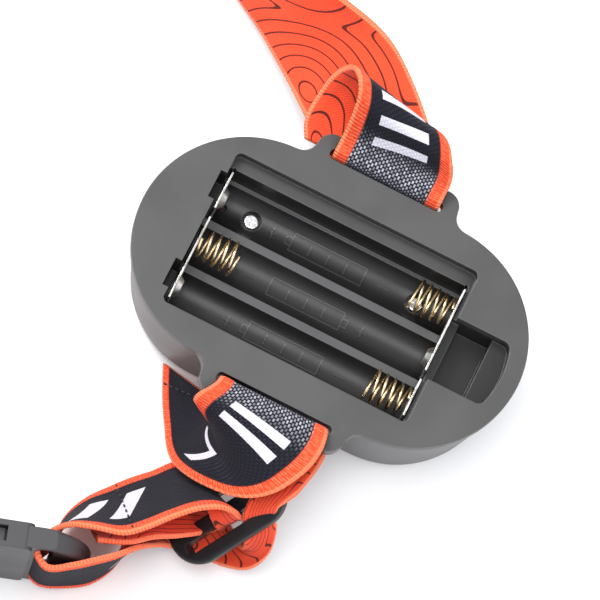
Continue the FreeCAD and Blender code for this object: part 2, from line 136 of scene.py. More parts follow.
def softEdge(tree, radius):
    # rounded arris, and how much of one there is at a point
    node = tree.nodes.new("ShaderNodeBevel")
    node.samples = 6
    node.inputs["Radius"].default_value = radius
    plain = tree.nodes.new("ShaderNodeNewGeometry").outputs["Normal"]
    dot = tree.nodes.new("ShaderNodeVectorMath")
    dot.operation = "DOT_PRODUCT"
    tree.links.new(node.outputs[0], dot.inputs[0])
    tree.links.new(plain, dot.inputs[1])
    return node.outputs[0], ramp(tree, dot.outputs["Value"], 0.985, 0.8)


def cornerShade(tree, reach):
    # how closed in a point is, 1 in a tight corner; it weights painted corner shade
    node = tree.nodes.new("ShaderNodeAmbientOcclusion")
    node.samples = 6
    node.inputs["Distance"].default_value = reach
    return ramp(tree, node.outputs["AO"], 0.9, 0.25)


def mouldedPlastic(name, colour, rough=0.55, texture=0.00003, edge=0.0003, edgeHighlightWeight=0.35, patch=0.06,
                   bayShade=None, shine=0.5):
    finish, tree, shader = newFinish(name, colour, rough)
    place = objectPlace(tree)
    fine = grain(tree, place, 3800.0, 3.0)
    broad = grain(tree, place, 55.0, 3.0, 0.4)
    normal, arris = softEdge(tree, edge)
    light = tuple(min(1.0, c * (1 + patch)) for c in colour)
    dark = tuple(c * (1 - patch) for c in colour)
    # paler colour for the painted edge highlight
    edgeHighlight = tuple(min(1.0, c * 2.2 + 0.03) for c in colour)
    tone = mixColour(tree, ramp(tree, broad, 0.35, 0.65), dark, light)
    if bayShade:
        # painted shade: below the plate the bay is coloured near black, as shade falls in it, though it is
        # the same plastic
        split = tree.nodes.new("ShaderNodeSeparateXYZ")
        tree.links.new(place, split.inputs[0])
        shadeBelowPlate = ramp(tree, split.outputs[2], bayShade["top"], bayShade["top"] - 0.0012)
        tone = mixColour(tree, shadeBelowPlate, tone, bayShade["colour"])
        # painted shade, darker still in the bay's corners
        tone = mixColour(tree, cornerShade(tree, 0.006), tone, bayShade["corner"])
        # painted highlight: the up-facing tops of the ridges between the cells are coloured light, out of
        # the painted shade
        level = apart(tree, split.outputs[2], bayShade["ridge"])
        facing = tree.nodes.new("ShaderNodeSeparateXYZ")
        tree.links.new(tree.nodes.new("ShaderNodeNewGeometry").outputs["Normal"], facing.inputs[0])
        inBay = ramp(tree, split.outputs[0], bayShade["end"], bayShade["end"] - 0.0005)
        level = ramp(tree, level, 0.0002, 0.0001)
        top = calc(tree, "MULTIPLY", level, ramp(tree, facing.outputs[2], 0.9, 0.98))
        top = calc(tree, "MULTIPLY", top, inBay)
        tone = mixColour(tree, top, tone, bayShade["ridgeHighlightColour"])
    # painted highlight: rounded edges coloured paler, as a bright rim
    tone = mixColour(tree, calc(tree, "MULTIPLY", arris, edgeHighlightWeight), tone, edgeHighlight)
    put(tree, shader.inputs["Base Color"], tone)
    put(tree, shader.inputs["Roughness"], ramp(tree, broad, 0.3, 0.7, rough - 0.05, rough + 0.07))
    put(tree, shader.inputs["Normal"], bump(tree, fine, texture, normal, 0.8))
    shader.inputs["Specular IOR Level"].default_value = shine
    return finish


def bareMetal(name, colour, rough):
    finish, tree, shader = newFinish(name, colour, rough, 1.0)
    place = objectPlace(tree)
    broad = grain(tree, place, 260.0, 3.0, 0.5)
    fine = grain(tree, place, 3600.0, 2.0)
    dark = tuple(c * 0.72 for c in colour)
    put(tree, shader.inputs["Base Color"], mixColour(tree, ramp(tree, broad, 0.35, 0.6), dark, colour))
    put(tree, shader.inputs["Roughness"], ramp(tree, broad, 0.3, 0.7, rough * 0.75, rough * 1.5))
    normal = softEdge(tree, 0.15 * mm)[0]
    put(tree, shader.inputs["Normal"], bump(tree, fine, 0.000008, normal, 0.6))
    return finish


def softRubber(name, colour):
    finish, tree, shader = newFinish(name, colour, 0.75)
    place = objectPlace(tree)
    broad = grain(tree, place, 120.0, 3.0)
    fine = grain(tree, place, 5200.0, 2.0)
    dark = tuple(c * 0.8 for c in colour)
    put(tree, shader.inputs["Base Color"], mixColour(tree, ramp(tree, broad, 0.3, 0.7), dark, colour))
    normal = softEdge(tree, 0.0003)[0]
    put(tree, shader.inputs["Normal"], bump(tree, fine, 0.00002, normal))
    return finish


def clearLens(name):
    finish, tree, shader = newFinish(name, (0.96, 0.98, 1.0), 0.03)
    shader.inputs["Transmission Weight"].default_value = 1.0
    shader.inputs["IOR"].default_value = 1.58
    shader.inputs["Coat Weight"].default_value = 0.4
    broad = grain(tree, objectPlace(tree), 90.0, 2.0)
    put(tree, shader.inputs["Roughness"], ramp(tree, broad, 0.3, 0.7, 0.02, 0.07))
    return finish


plastics = {
    "shell_plastic": ((0.115, 0.114, 0.116), 0.48, 0.00003),
    "buckle_plastic": ((0.034, 0.034, 0.038), 0.46, 0.00002),
    "rim_plastic": ((0.012, 0.012, 0.014), 0.16, 0.000004),
    "frame_plastic": ((0.03, 0.03, 0.03), 0.6, 0.00002),
    "switch_body": ((0.02, 0.02, 0.02), 0.5, 0.00001),
    "led_chip": ((0.9, 0.78, 0.25), 0.4, 0.00001),
    "board_laminate": ((0.012, 0.11, 0.045), 0.35, 0.00001),
}
finishes = {}
# painted shade colours for the bay below the plate and its corners, and the painted highlight on its ridge
# tops
bay = {"top": 25.2 * mm, "colour": (0.0085, 0.0085, 0.009), "corner": (0.003, 0.003, 0.0035),
       "ridge": 17.4 * mm, "ridgeHighlightColour": (0.060, 0.060, 0.062), "end": 27.1 * mm}
finishes["case_plastic"] = mouldedPlastic("case_plastic", (0.055, 0.055, 0.055), 0.40, edge=0.35 * mm,
                                          edgeHighlightWeight=0.6, patch=0.05, bayShade=bay)
for name, (colour, rough, texture) in plastics.items():
    finishes[name] = mouldedPlastic(name, colour, rough, texture)
finishes["slider_plastic"] = mouldedPlastic("slider_plastic", (0.006, 0.006, 0.0075), 0.34, texture=0.00001,
                                            edge=0.4 * mm, edgeHighlightWeight=0.5, patch=0.05, shine=0.3)
finishes["screw_steel"] = bareMetal("screw_steel", (0.82, 0.82, 0.84), 0.2)
finishes["contact_steel"] = bareMetal("contact_steel", (0.80, 0.78, 0.74), 0.3)
finishes["spring_wire"] = bareMetal("spring_wire", (0.86, 0.66, 0.40), 0.22)
finishes["reflector_chrome"] = bareMetal("reflector_chrome", (0.92, 0.93, 0.95), 0.06)
finishes["seal_rubber"] = softRubber("seal_rubber", (0.012, 0.012, 0.012))
finishes["button_rubber"] = softRubber("button_rubber", (0.62, 0.10, 0.03))
finishes["wire_red"] = softRubber("wire_red", (0.055, 0.008, 0.008))
finishes["wire_black"] = softRubber("wire_black", (0.02, 0.02, 0.02))
finishes["lens_clear"] = clearLens("lens_clear")

for part in frame["record"]["subparts"]:
    finish = finishes.get(part["material_slot"])
    piece = bpy.data.objects.get(part["node"])
    if finish and piece:
        piece.data.materials.clear()
        piece.data.materials.append(finish)
print("finishes ready")


webbing = {
    "thick": 1.25 * mm,
    "width": 25.0 * mm,
    "selvage": 3.1 * mm,
    "peachRim": 0.75 * mm,
    "ribPitch": 0.72 * mm,
    "ribHigh": 0.03 * mm,
    "waver": 0.18 * mm,
    "lane": 0.62 * mm,
    "stitch": 1.05 * mm,
    "cord": 0.8 * mm,
    "pick": 0.7 * mm,
    "soft": 0.1 * mm,
    "turnIn": 0.3 * mm,
    "black": (0.0075, 0.0075, 0.0135),
    "fleck": (0.55, 0.56, 0.64),
    "orange": (0.84, 0.072, 0.024),
    "deepOrange": (0.66, 0.034, 0.012),
    "peach": (0.90, 0.22, 0.105),
    "line": (0.10, 0.012, 0.010),
    "mark": (0.66, 0.65, 0.74),
}
contour = {"period": 74.0 * mm, "long": 1.5, "pitch": 2.5 * mm, "line": 0.32 * mm, "sway": 5.0 * mm}


def acrossBand(tree):
    # along the strap and in from its nearest edge, both in metres
    uv = tree.nodes.new("ShaderNodeUVMap")
    uv.uv_map = "strap"
    split = tree.nodes.new("ShaderNodeSeparateXYZ")
    tree.links.new(uv.outputs[0], split.inputs[0])
    along, across = split.outputs[0], split.outputs[1]
    inward = calc(tree, "MINIMUM", across, calc(tree, "SUBTRACT", webbing["width"], across))
    return uv.outputs[0], along, across, inward


def combined(tree, along, across, squeeze=1.0):
    node = tree.nodes.new("ShaderNodeCombineXYZ")
    put(tree, node.inputs[0], along)
    put(tree, node.inputs[1], calc(tree, "MULTIPLY", across, squeeze))
    return node.outputs[0]


def wave(tree, value, pitch, phase=0.0):
    turned = calc(tree, "MULTIPLY_ADD", value, 2 * math.pi / pitch, phase)
    return calc(tree, "SINE", turned)


def selvageTone(tree, along, inward):
    rib = wave(tree, along, webbing["ribPitch"])
    fine = wave(tree, along, webbing["ribPitch"] / 2.0, 0.7)
    tone = mixColour(tree, ramp(tree, rib, -1.0, 0.2, 0.45, 1.0), webbing["deepOrange"], webbing["orange"])
    loose = grain(tree, combined(tree, along, inward, 0.35), 2600.0, 1.0)
    thread = calc(tree, "MULTIPLY", loose, ramp(tree, fine, -1.0, 0.6))
    tone = mixColour(tree, ramp(tree, thread, 0.30, 0.62, 0.0, 0.75), tone, webbing["peach"])
    rim = ramp(tree, inward, webbing["peachRim"] * 1.25, webbing["peachRim"] * 0.8)
    return mixColour(tree, rim, tone, webbing["peach"]), rib


def windowed(tree, value, start, end):
    soft = webbing["soft"]
    rise = ramp(tree, value, start - soft, start + soft)
    fall = ramp(tree, value, end + soft, end - soft)
    return calc(tree, "MULTIPLY", rise, fall)


def blackFace(name, marks, stretched):
    finish, tree, shader = newFinish(name, webbing["black"], 0.95)
    uv, along, across, inward = acrossBand(tree)
    # brick-laid picks: every other lane is shifted by half a stitch
    lane = calc(tree, "DIVIDE", across, webbing["lane"])
    shift = calc(tree, "MULTIPLY", calc(tree, "FLOOR", lane), 0.5)
    stitch = calc(tree, "ADD", calc(tree, "DIVIDE", along, webbing["stitch"]), shift)
    inLane = apart(tree, calc(tree, "FRACT", lane), 0.5)
    inStitch = apart(tree, calc(tree, "FRACT", stitch), 0.5)
    pick = calc(tree, "MULTIPLY", ramp(tree, inLane, 0.42, 0.22), ramp(tree, inStitch, 0.40, 0.20))
    lone = tree.nodes.new("ShaderNodeTexWhiteNoise")
    lone.noise_dimensions = "2D"
    put(tree, lone.inputs["Vector"],
        combined(tree, calc(tree, "FLOOR", stitch), calc(tree, "FLOOR", lane)))
    # the pale core shows evenly where the knit is pulled open, and hardly at all elsewhere
    opened = calc(tree, "MULTIPLY", ramp(tree, grain(tree, uv, 95.0, 2.0), 0.45, 0.7), 0.03)
    for start, end, amount in stretched:
        middle, half = (start + end) / 2, (end - start) / 2
        away = apart(tree, along, middle)
        opened = calc(tree, "ADD", opened, ramp(tree, away, half, half * 0.2, 0.0, amount))
    uneven = calc(tree, "MULTIPLY_ADD", lone.outputs["Value"], 0.7, 0.3)
    shown = calc(tree, "MULTIPLY", calc(tree, "MULTIPLY", pick, opened), uneven)
    tone = mixColour(tree, shown, webbing["black"], webbing["fleck"])
    tone = mixColour(tree, calc(tree, "MULTIPLY", pick, 0.012), tone, webbing["fleck"])
    centre = apart(tree, across, webbing["width"] / 2)
    for mark in marks:
        slanted = calc(tree, "MULTIPLY_ADD", centre if mark["chevron"] else across, mark["slant"], along)
        first = math.ceil(mark["start"] / mark["pitch"]) * mark["pitch"]
        last = math.floor(mark["end"] / mark["pitch"]) * mark["pitch"]
        phase = calc(tree, "FRACT", calc(tree, "DIVIDE", slanted, mark["pitch"]))
        bars = windowed(tree, phase, 0.12, 0.12 + mark["fill"])
        inRun = windowed(tree, slanted, first, last)
        inWidth = ramp(tree, centre, mark["reach"] + webbing["soft"], mark["reach"] - webbing["soft"])
        shown = calc(tree, "MULTIPLY", calc(tree, "MULTIPLY", bars, inRun), inWidth)
        knit = ramp(tree, pick, 0.0, 0.5, 0.80, 1.0)
        tone = mixColour(tree, calc(tree, "MULTIPLY", shown, knit), tone, webbing["mark"])
    edge, rib = selvageTone(tree, along, inward)
    selvage, turnIn = webbing["selvage"], webbing["turnIn"]
    atEdge = ramp(tree, inward, selvage + turnIn, selvage - turnIn)
    put(tree, shader.inputs["Base Color"], mixColour(tree, atEdge, tone, edge))
    relief = calc(tree, "MULTIPLY_ADD", pick, 0.5, calc(tree, "MULTIPLY", rib, atEdge))
    put(tree, shader.inputs["Normal"], bump(tree, relief, 0.00009))
    shader.inputs["Specular IOR Level"].default_value = 0.18
    shader.inputs["Sheen Weight"].default_value = 0.03
    shader.inputs["Sheen Roughness"].default_value = 0.5
    return finish


def orangeFace(name):
    finish, tree, shader = newFinish(name, webbing["orange"], 0.85)
    uv, along, across, inward = acrossBand(tree)
    cord = wave(tree, across, webbing["cord"])
    pick = wave(tree, along, webbing["pick"])
    weave = calc(tree, "MULTIPLY", cord, pick)
    broad = grain(tree, uv, 60.0, 3.0)
    tone = mixColour(tree, ramp(tree, broad, 0.3, 0.7, 0.0, 0.35), webbing["orange"], webbing["deepOrange"])
    tone = mixColour(tree, ramp(tree, weave, 0.1, 1.0, 0.0, 0.22), tone, webbing["peach"])
    # nested contour lines round summits that stand by one edge, then by the other
    sway = calc(tree, "MULTIPLY", calc(tree, "SUBTRACT", grain(tree, uv, 55.0, 0.0), 0.5), contour["sway"])
    nearest = None
    for shift, side in ((0.0, 0.86), (0.5, 0.12)):
        turns = calc(tree, "MULTIPLY_ADD", along, 1 / contour["period"], shift)
        ahead = calc(tree, "SUBTRACT", calc(tree, "FRACT", turns), 0.5)
        ahead = calc(tree, "MULTIPLY", ahead, contour["period"] / contour["long"])
        aside = calc(tree, "SUBTRACT", across, side * webbing["width"])
        squared = calc(tree, "MULTIPLY_ADD", aside, aside, calc(tree, "MULTIPLY", ahead, ahead))
        height = calc(tree, "SQRT", squared)
        nearest = height if nearest is None else calc(tree, "SMOOTH_MIN", nearest, height, 0.003)
    level = calc(tree, "FRACT", calc(tree, "DIVIDE", calc(tree, "ADD", nearest, sway), contour["pitch"]))
    off = apart(tree, level, 0.5)
    half = contour["line"] / contour["pitch"] / 2
    line = ramp(tree, off, half * 1.4, half * 0.7)
    tone = mixColour(tree, line, tone, webbing["line"])
    edge, rib = selvageTone(tree, along, inward)
    atEdge = ramp(tree, inward, webbing["peachRim"] * 1.5, webbing["peachRim"])
    put(tree, shader.inputs["Base Color"], mixColour(tree, atEdge, tone, edge))
    relief = calc(tree, "MULTIPLY_ADD", weave, 0.5, calc(tree, "MULTIPLY", rib, atEdge))
    put(tree, shader.inputs["Normal"], bump(tree, relief, 0.00008))
    shader.inputs["Specular IOR Level"].default_value = 0.25
    shader.inputs["Sheen Weight"].default_value = 0.1
    shader.inputs["Sheen Roughness"].default_value = 0.5
    return finish


def rimFace(name):
    finish, tree, shader = newFinish(name, webbing["peach"], 0.88)
    uv, along, across, inward = acrossBand(tree)
    rib = wave(tree, along, webbing["ribPitch"])
    put(tree, shader.inputs["Base Color"],
        mixColour(tree, ramp(tree, rib, -0.9, 0.6, 0.35, 0.9), webbing["orange"], webbing["peach"]))
    put(tree, shader.inputs["Normal"], bump(tree, rib, 0.00008))
    shader.inputs["Specular IOR Level"].default_value = 0.25
    return finish


def throughRows(rows):
    # smooth left and right edges through the rows, with the strap's running length at each
    left = [Vector(row[0]) * mm for row in rows]
    right = [Vector(row[1]) * mm for row in rows]
    middle = [(a + b) / 2 for a, b in zip(left, right)]
    length = [0.0]
    for a, b in zip(middle, middle[1:]):
        length.append(length[-1] + (b - a).length)
    return left, right, length


def smoothAt(points, length, where):
    # cubic through neighbouring points, with slopes by running length
    last = len(points) - 1
    i = max(0, min(last - 1, next((k for k in range(last) if length[k + 1] >= where), last - 1)))
    span = length[i + 1] - length[i]
    t = (where - length[i]) / span

    def slope(k):
        a, b = max(0, k - 1), min(last, k + 1)
        return (points[b] - points[a]) / (length[b] - length[a])
    p, q = points[i], points[i + 1]
    m, n = slope(i) * span, slope(i + 1) * span
    t2, t3 = t * t, t * t * t
    return p * (2 * t3 - 3 * t2 + 1) + m * (t3 - 2 * t2 + t) + q * (3 * t2 - 2 * t3) + n * (t3 - t2)


def strapPoint(route, where, across, off=0.0):
    left, right, length = route
    p, q = smoothAt(left, length, where), smoothAt(right, length, where)
    step = 0.0004
    a = min(max(where, step), length[-1] - step)
    ahead = (smoothAt(left, length, a + step) + smoothAt(right, length, a + step)
             - smoothAt(left, length, a - step) - smoothAt(right, length, a - step))
    out = ahead.cross(q - p).normalized()
    return p.lerp(q, across) + out * off, out


def makeStrap(name, rows, stops, faces):
    # stops: (running length up to which, step along), so the near part is finest
    route = throughRows(rows)
    total = route[2][-1]
    places = [0.0]
    for reach, step in stops:
        end = min(total, reach)
        count = max(1, round((end - places[-1]) / step))
        start = places[-1]
        places += [start + (end - start) * k / count for k in range(1, count + 1)]
    lanes = 26
    work = bmesh.new()
    work.loops.layers.uv.new("strap")
    bmesh.ops.create_grid(work, x_segments=len(places) - 1, y_segments=lanes, size=0.5, calc_uvs=True)
    layer = work.loops.layers.uv.active
    cache = {}
    for face in work.faces:
        for loop in face.loops:
            k = round((loop.vert.co.x + 0.5) * (len(places) - 1))
            loop[layer].uv = (places[k], (loop.vert.co.y + 0.5) * webbing["width"])
        face.smooth = True
    ribs = 2 * math.pi / webbing["ribPitch"]
    for vert in work.verts:
        k = round((vert.co.x + 0.5) * (len(places) - 1))
        across = vert.co.y + 0.5
        where = places[k]
        inEdge = min(across, 1 - across) * webbing["width"]
        cell = cache.get(k)
        if cell is None:
            p, out = strapPoint(route, where, 0.0)
            q, out = strapPoint(route, where, 1.0)
            cell = cache[k] = (p, q, out)
        p, q, out = cell
        waver = noise.noise(Vector((where * 90, across * 2.0, 3.7))) * webbing["waver"]
        ripple = webbing["ribHigh"] * math.sin(where * ribs)
        rib = ripple if inEdge < webbing["selvage"] else 0.0
        spread = ripple if inEdge < webbing["turnIn"] else 0.0
        side = (q - p).normalized() * (spread if across > 0.5 else -spread)
        vert.co = p.lerp(q, across) + out * (waver + rib) + side
    piece = newPiece(name, work)
    mesh = piece.data
    for finish in faces:
        mesh.materials.append(finish)
    thicker = piece.vertex_groups.new(name="thicker")
    for vert in mesh.vertices:
        thicker.add([vert.index], 0.0, "REPLACE")
    for polygon in mesh.polygons:
        for corner in polygon.loop_indices:
            uv = mesh.uv_layers["strap"].data[corner].uv
            inEdge = min(uv.y, webbing["width"] - uv.y)
            edgeOn = (webbing["selvage"] + webbing["turnIn"] - inEdge) / (2 * webbing["turnIn"])
            edgeOn = max(0.0, min(1.0, edgeOn))
            roundOff = max(0.0, min(1.0, inEdge / (2 * webbing["turnIn"]))) * 0.45 + 0.55
            thicker.add([mesh.loops[corner].vertex_index], (0.72 + 0.28 * edgeOn) * roundOff, "REPLACE")
    solid = piece.modifiers.new("cloth thickness", "SOLIDIFY")
    solid.thickness = webbing["thick"]
    solid.offset = 0.0
    solid.vertex_group = "thicker"
    solid.material_offset = 1
    solid.material_offset_rim = 2
    return piece, route


mainRows = [
    ((-19.5, 29.6, 21.6), (4.6, 29.8, 21.6)),
    ((-21.3, 33.5, 22.0), (3.4, 33.6, 22.2)),
    ((-21.2, 38.6, 24.6), (3.8, 37.2, 24.4)),
    ((-20.0, 42.6, 30.0), (4.6, 39.4, 28.6)),
    ((-17.6, 43.4, 36.0), (6.6, 39.6, 32.4)),
    ((-15.2, 40.8, 39.8), (8.8, 37.4, 34.6)),
    ((-13.4, 37.4, 39.2), (10.8, 34.8, 34.0)),
    ((-12.7, 34.4, 35.2), (12.0, 33.3, 31.6)),
    ((-12.5, 32.0, 31.2), (12.5, 31.8, 29.6)),
    ((-12.5, 29.8, 28.9), (12.5, 29.8, 28.5)),
    ((-12.5, 28.1, 28.0), (12.5, 28.1, 28.0)),
    ((-12.5, 27.4, 26.2), (12.5, 27.4, 26.2)),
    ((-12.5, 27.3, 23.4), (12.5, 27.3, 23.4)),
    ((-12.8, 27.9, 20.8), (12.0, 28.1, 20.8)),
    ((-14.2, 29.8, 19.4), (10.4, 33.2, 19.6)),
    ((-16.6, 32.0, 18.8), (5.8, 42.0, 19.8)),
    ((-21.3, 35.4, 17.4), (-5.0, 52.8, 21.4)),
    ((-30.0, 44.0, 12.0), (-14.4, 58.2, 24.0)),
    ((-42.0, 54.6, 5.8), (-29.0, 61.2, 25.6)),
    ((-58.0, 64.0, 2.0), (-52.0, 67.4, 26.2)),
    ((-80.0, 71.0, 1.0), (-78.6, 73.0, 25.9)),
    ((-106.0, 73.0, 1.0), (-105.6, 74.4, 25.9)),
    ((-131.0, 66.0, 1.0), (-131.6, 67.0, 25.9)),
    ((-152.0, 51.0, 1.0), (-153.0, 51.6, 25.9)),
    ((-167.0, 29.0, 1.0), (-168.2, 29.4, 25.9)),
    ((-174.6, 3.0, 1.0), (-175.8, 3.0, 25.9)),
    ((-175.2, -24.0, 1.0), (-176.2, -24.2, 25.9)),
    ((-168.6, -50.0, 1.0), (-169.4, -50.4, 25.9)),
    ((-155.0, -73.0, 1.0), (-155.6, -73.6, 25.9)),
    ((-135.0, -90.0, 1.0), (-135.4, -90.6, 25.9)),
    ((-110.0, -96.8, 1.5), (-110.2, -97.4, 26.4)),
    ((-90.0, -96.0, 2.4), (-90.0, -96.4, 27.4)),
    ((-78.0, -94.6, 2.4), (-78.0, -94.8, 27.4)),
    ((-70.4, -93.4, 2.5), (-70.4, -93.4, 27.5)),
    ((-66.2, -92.0, 2.5), (-66.2, -92.0, 27.5)),
]
adjusterRows = [
    ((-10.0, -29.8, 17.0), (-24.6, -22.8, 1.4)),
    ((-9.6, -30.4, 16.6), (-22.8, -27.0, 2.0)),
    ((-9.2, -30.9, 16.4), (-20.7, -31.6, 3.5)),
    ((-9.0, -31.4, 16.5), (-18.2, -36.3, 5.5)),
    ((-9.0, -31.8, 16.8), (-15.6, -41.1, 8.0)),
    ((-9.2, -32.2, 17.2), (-12.9, -44.4, 11.5)),
    ((-9.6, -32.6, 17.8), (-9.0, -46.7, 16.0)),
    ((-10.2, -33.1, 18.8), (-3.9, -47.9, 20.0)),
    ((-11.0, -33.6, 20.2), (0.9, -47.9, 22.4)),
    ((-12.4, -34.0, 22.4), (5.1, -46.7, 24.8)),
    ((-14.0, -34.3, 25.2), (8.6, -44.2, 27.2)),
    ((-15.2, -34.2, 27.4), (11.0, -40.6, 28.8)),
    ((-15.0, -33.2, 28.8), (12.6, -36.8, 29.5)),
    ((-13.6, -31.2, 29.0), (13.2, -32.6, 29.3)),
    ((-12.7, -29.4, 28.7), (12.9, -29.6, 28.8)),
    ((-12.5, -28.1, 28.0), (12.5, -28.1, 28.0)),
    ((-12.5, -27.4, 26.2), (12.5, -27.4, 26.2)),
    ((-12.5, -27.3, 23.4), (12.5, -27.3, 23.4)),
    ((-11.4, -27.3, 20.4), (13.4, -28.2, 21.6)),
    ((-7.0, -28.2, 17.4), (14.4, -30.8, 21.6)),
    ((-1.6, -31.2, 18.2), (14.2, -34.8, 22.6)),
    ((2.6, -36.0, 20.6), (13.4, -39.0, 24.4)),
    ((4.4, -42.0, 21.2), (12.4, -42.8, 26.4)),
    ((4.6, -48.4, 18.8), (10.6, -46.0, 24.2)),
    ((5.4, -50.6, 15.6), (10.4, -46.6, 20.6)),
    ((7.4, -52.6, 11.6), (12.4, -48.4, 15.6)),
    ((7.2, -52.6, 7.4), (13.2, -52.2, 10.4)),
    ((2.6, -48.4, 2.8), (11.0, -55.8, 5.6)),
    ((-4.0, -43.6, 1.5), (6.0, -57.0, 2.6)),
    ((-9.4, -42.4, 1.5), (0.4, -57.2, 1.5)),
    ((-12.8, -46.0, 1.5), (-3.8, -58.2, 3.0)),
    ((-15.0, -52.0, 1.5), (-7.0, -60.2, 7.6)),
    ((-16.0, -58.6, 1.5), (-9.8, -63.2, 13.6)),
    ((-14.6, -63.4, 1.5), (-11.8, -66.4, 20.6)),
    ((-15.2, -68.8, 1.5), (-14.6, -70.2, 24.4)),
    ((-17.8, -73.2, 1.5), (-18.0, -73.4, 25.8)),
    ((-22.2, -76.2, 1.8), (-21.9, -76.9, 26.4)),
    ((-26.6, -78.2, 2.8), (-26.2, -79.6, 26.6)),
    ((-29.4, -77.2, 2.8), (-29.5, -77.8, 26.8)),
    ((-29.5, -74.2, 2.6), (-29.6, -74.6, 26.8)),
    ((-28.3, -70.4, 2.2), (-28.2, -71.8, 26.8)),
    ((-28.0, -62.6, 2.4), (-25.4, -69.6, 26.6)),
    ((-26.0, -57.4, 2.8), (-21.1, -68.0, 26.2)),
    ((-23.1, -53.4, 3.0), (-15.4, -66.2, 25.8)),
    ((-20.2, -49.8, 3.0), (-11.7, -62.8, 25.2)),
    ((-16.3, -45.8, 3.0), (-8.0, -58.4, 25.0)),
    ((-13.1, -42.0, 3.2), (-4.1, -54.2, 24.2)),
    ((-9.6, -41.6, 5.4), (-0.4, -51.6, 23.2)),
    ((-6.2, -45.0, 9.8), (2.6, -50.6, 21.8)),
    ((-2.6, -50.4, 14.6), (4.2, -50.2, 19.6)),
    ((0.6, -52.8, 13.4), (4.6, -49.6, 17.4)),
    ((1.6, -51.2, 9.6), (4.6, -48.4, 13.6)),
    ((-2.4, -47.4, 5.8), (0.4, -53.4, 10.6)),
    ((-9.0, -46.6, 3.6), (-5.4, -58.8, 14.4)),
    ((-15.4, -51.0, 3.2), (-9.6, -62.4, 18.6)),
    ((-20.2, -56.6, 3.2), (-13.8, -66.6, 21.8)),
    ((-24.2, -61.8, 3.2), (-19.6, -69.4, 23.0)),
]

mainLength = throughRows(mainRows)[2]
adjusterLength = throughRows(adjusterRows)[2]

mainMarks = [
    {"start": mainLength[4], "end": mainLength[4] + 0.0210, "pitch": 0.0050, "slant": 0.25, "fill": 0.42,
     "reach": 0.0062, "chevron": False},
    {"start": 0.190, "end": 0.262, "pitch": 0.012, "slant": 0.6, "fill": 0.38, "reach": 0.0068,
     "chevron": True},
    {"start": 0.330, "end": 0.402, "pitch": 0.012, "slant": 0.6, "fill": 0.38, "reach": 0.0068,
     "chevron": True},
]
adjusterMarks = [
    {"start": adjusterLength[11], "end": adjusterLength[14], "pitch": 0.0034, "slant": 0.12, "fill": 0.55,
     "reach": 0.0066, "chevron": False},
    {"start": adjusterLength[6], "end": adjusterLength[9], "pitch": 0.0052, "slant": 0.9, "fill": 0.42,
     "reach": 0.0068, "chevron": True},
    {"start": adjusterLength[41], "end": adjusterLength[46], "pitch": 0.0085, "slant": 0.5, "fill": 0.5,
     "reach": 0.0056, "chevron": False},
    {"start": adjusterLength[34], "end": adjusterLength[36], "pitch": 0.007, "slant": 0.5, "fill": 0.4,
     "reach": 0.0056, "chevron": False},
]

# where the black knit is pulled open over a bar and shows its pale core
mainStretch = [(mainLength[7], mainLength[11] + 0.004, 0.75)]
adjusterStretch = [(adjusterLength[12], adjusterLength[17] + 0.003, 0.75)]

orange = orangeFace("webbing_orange")
rim = rimFace("webbing_rim")
blackMain = blackFace("webbing_black_main", mainMarks, mainStretch)
blackAdjuster = blackFace("webbing_black_adjuster", adjusterMarks, adjusterStretch)
mainBand, mainRoute = makeStrap("main_strap", mainRows, ((0.19, 0.0004), (9.0, 0.0011)),
                                (blackMain, orange, rim))
adjusterBand, adjusterRoute = makeStrap("adjuster_strap", adjusterRows, ((9.0, 0.0004),),
                                        (orange, blackAdjuster, rim))
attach(adjusterBand, "root")
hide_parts("adjuster_band")
# still at the lamp's bar, and all the way with the plug where it leaves the head loop
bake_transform(mainBand)
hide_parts("main_band")
print("straps made", len(mainBand.data.polygons), len(adjusterBand.data.polygons))


stitches = {"wide": 0.45 * mm, "long": 1.5 * mm, "count": 9, "colour": (0.02, 0.018, 0.022)}


def sewAcross(name, route, where, side, lift):
    work = bmesh.new()
    for k in range(stitches["count"]):
        across = 0.07 + 0.86 * k / (stitches["count"] - 1)
        place, out = strapPoint(route, where, across, side * lift)
        near, out = strapPoint(route, where, across - 0.03, side * lift)
        made = bmesh.ops.create_icosphere(work, subdivisions=2, radius=0.5)
        heading = (place - near).normalized()
        third = heading.cross(out)
        size = Matrix.Diagonal((stitches["long"] * 1.1, stitches["wide"], stitches["wide"], 1.0))
        turn = Matrix((heading, third, out)).transposed().to_4x4()
        bmesh.ops.transform(work, matrix=Matrix.Translation(place) @ turn @ size, verts=made["verts"])
    for face in work.faces:
        face.smooth = True
    return newPiece(name, work)


thread = softRubber("dark_thread", stitches["colour"])
for name, route, where, side in (
        ("stitch_return", adjusterRoute, adjusterLength[43] + 0.002, -1),
        ("stitch_loop_end", adjusterRoute, adjusterLength[1], -1),
        ("stitch_main_tail", mainRoute, mainLength[1], 1)):
    row = sewAcross(name, route, where, side, webbing["thick"] * 0.5)
    row.data.materials.append(thread)
    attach(row, "root")
print("stitches sewn")


marks = {
    "rows": (9.8 * mm, -1.2 * mm, -12.2 * mm),
    "radius": 5.4 * mm,
    "centreHeight": 20.2 * mm,
    "line": 0.34 * mm,
    "raise": 0.16 * mm,
    "signLeft": -16.5 * mm,
    "signRight": 9.7 * mm,
    "signHalf": 1.15 * mm,
    "boxLeft": -12.0 * mm,
    "boxRight": 5.0 * mm,
    "boxHalf": 2.1 * mm,
}


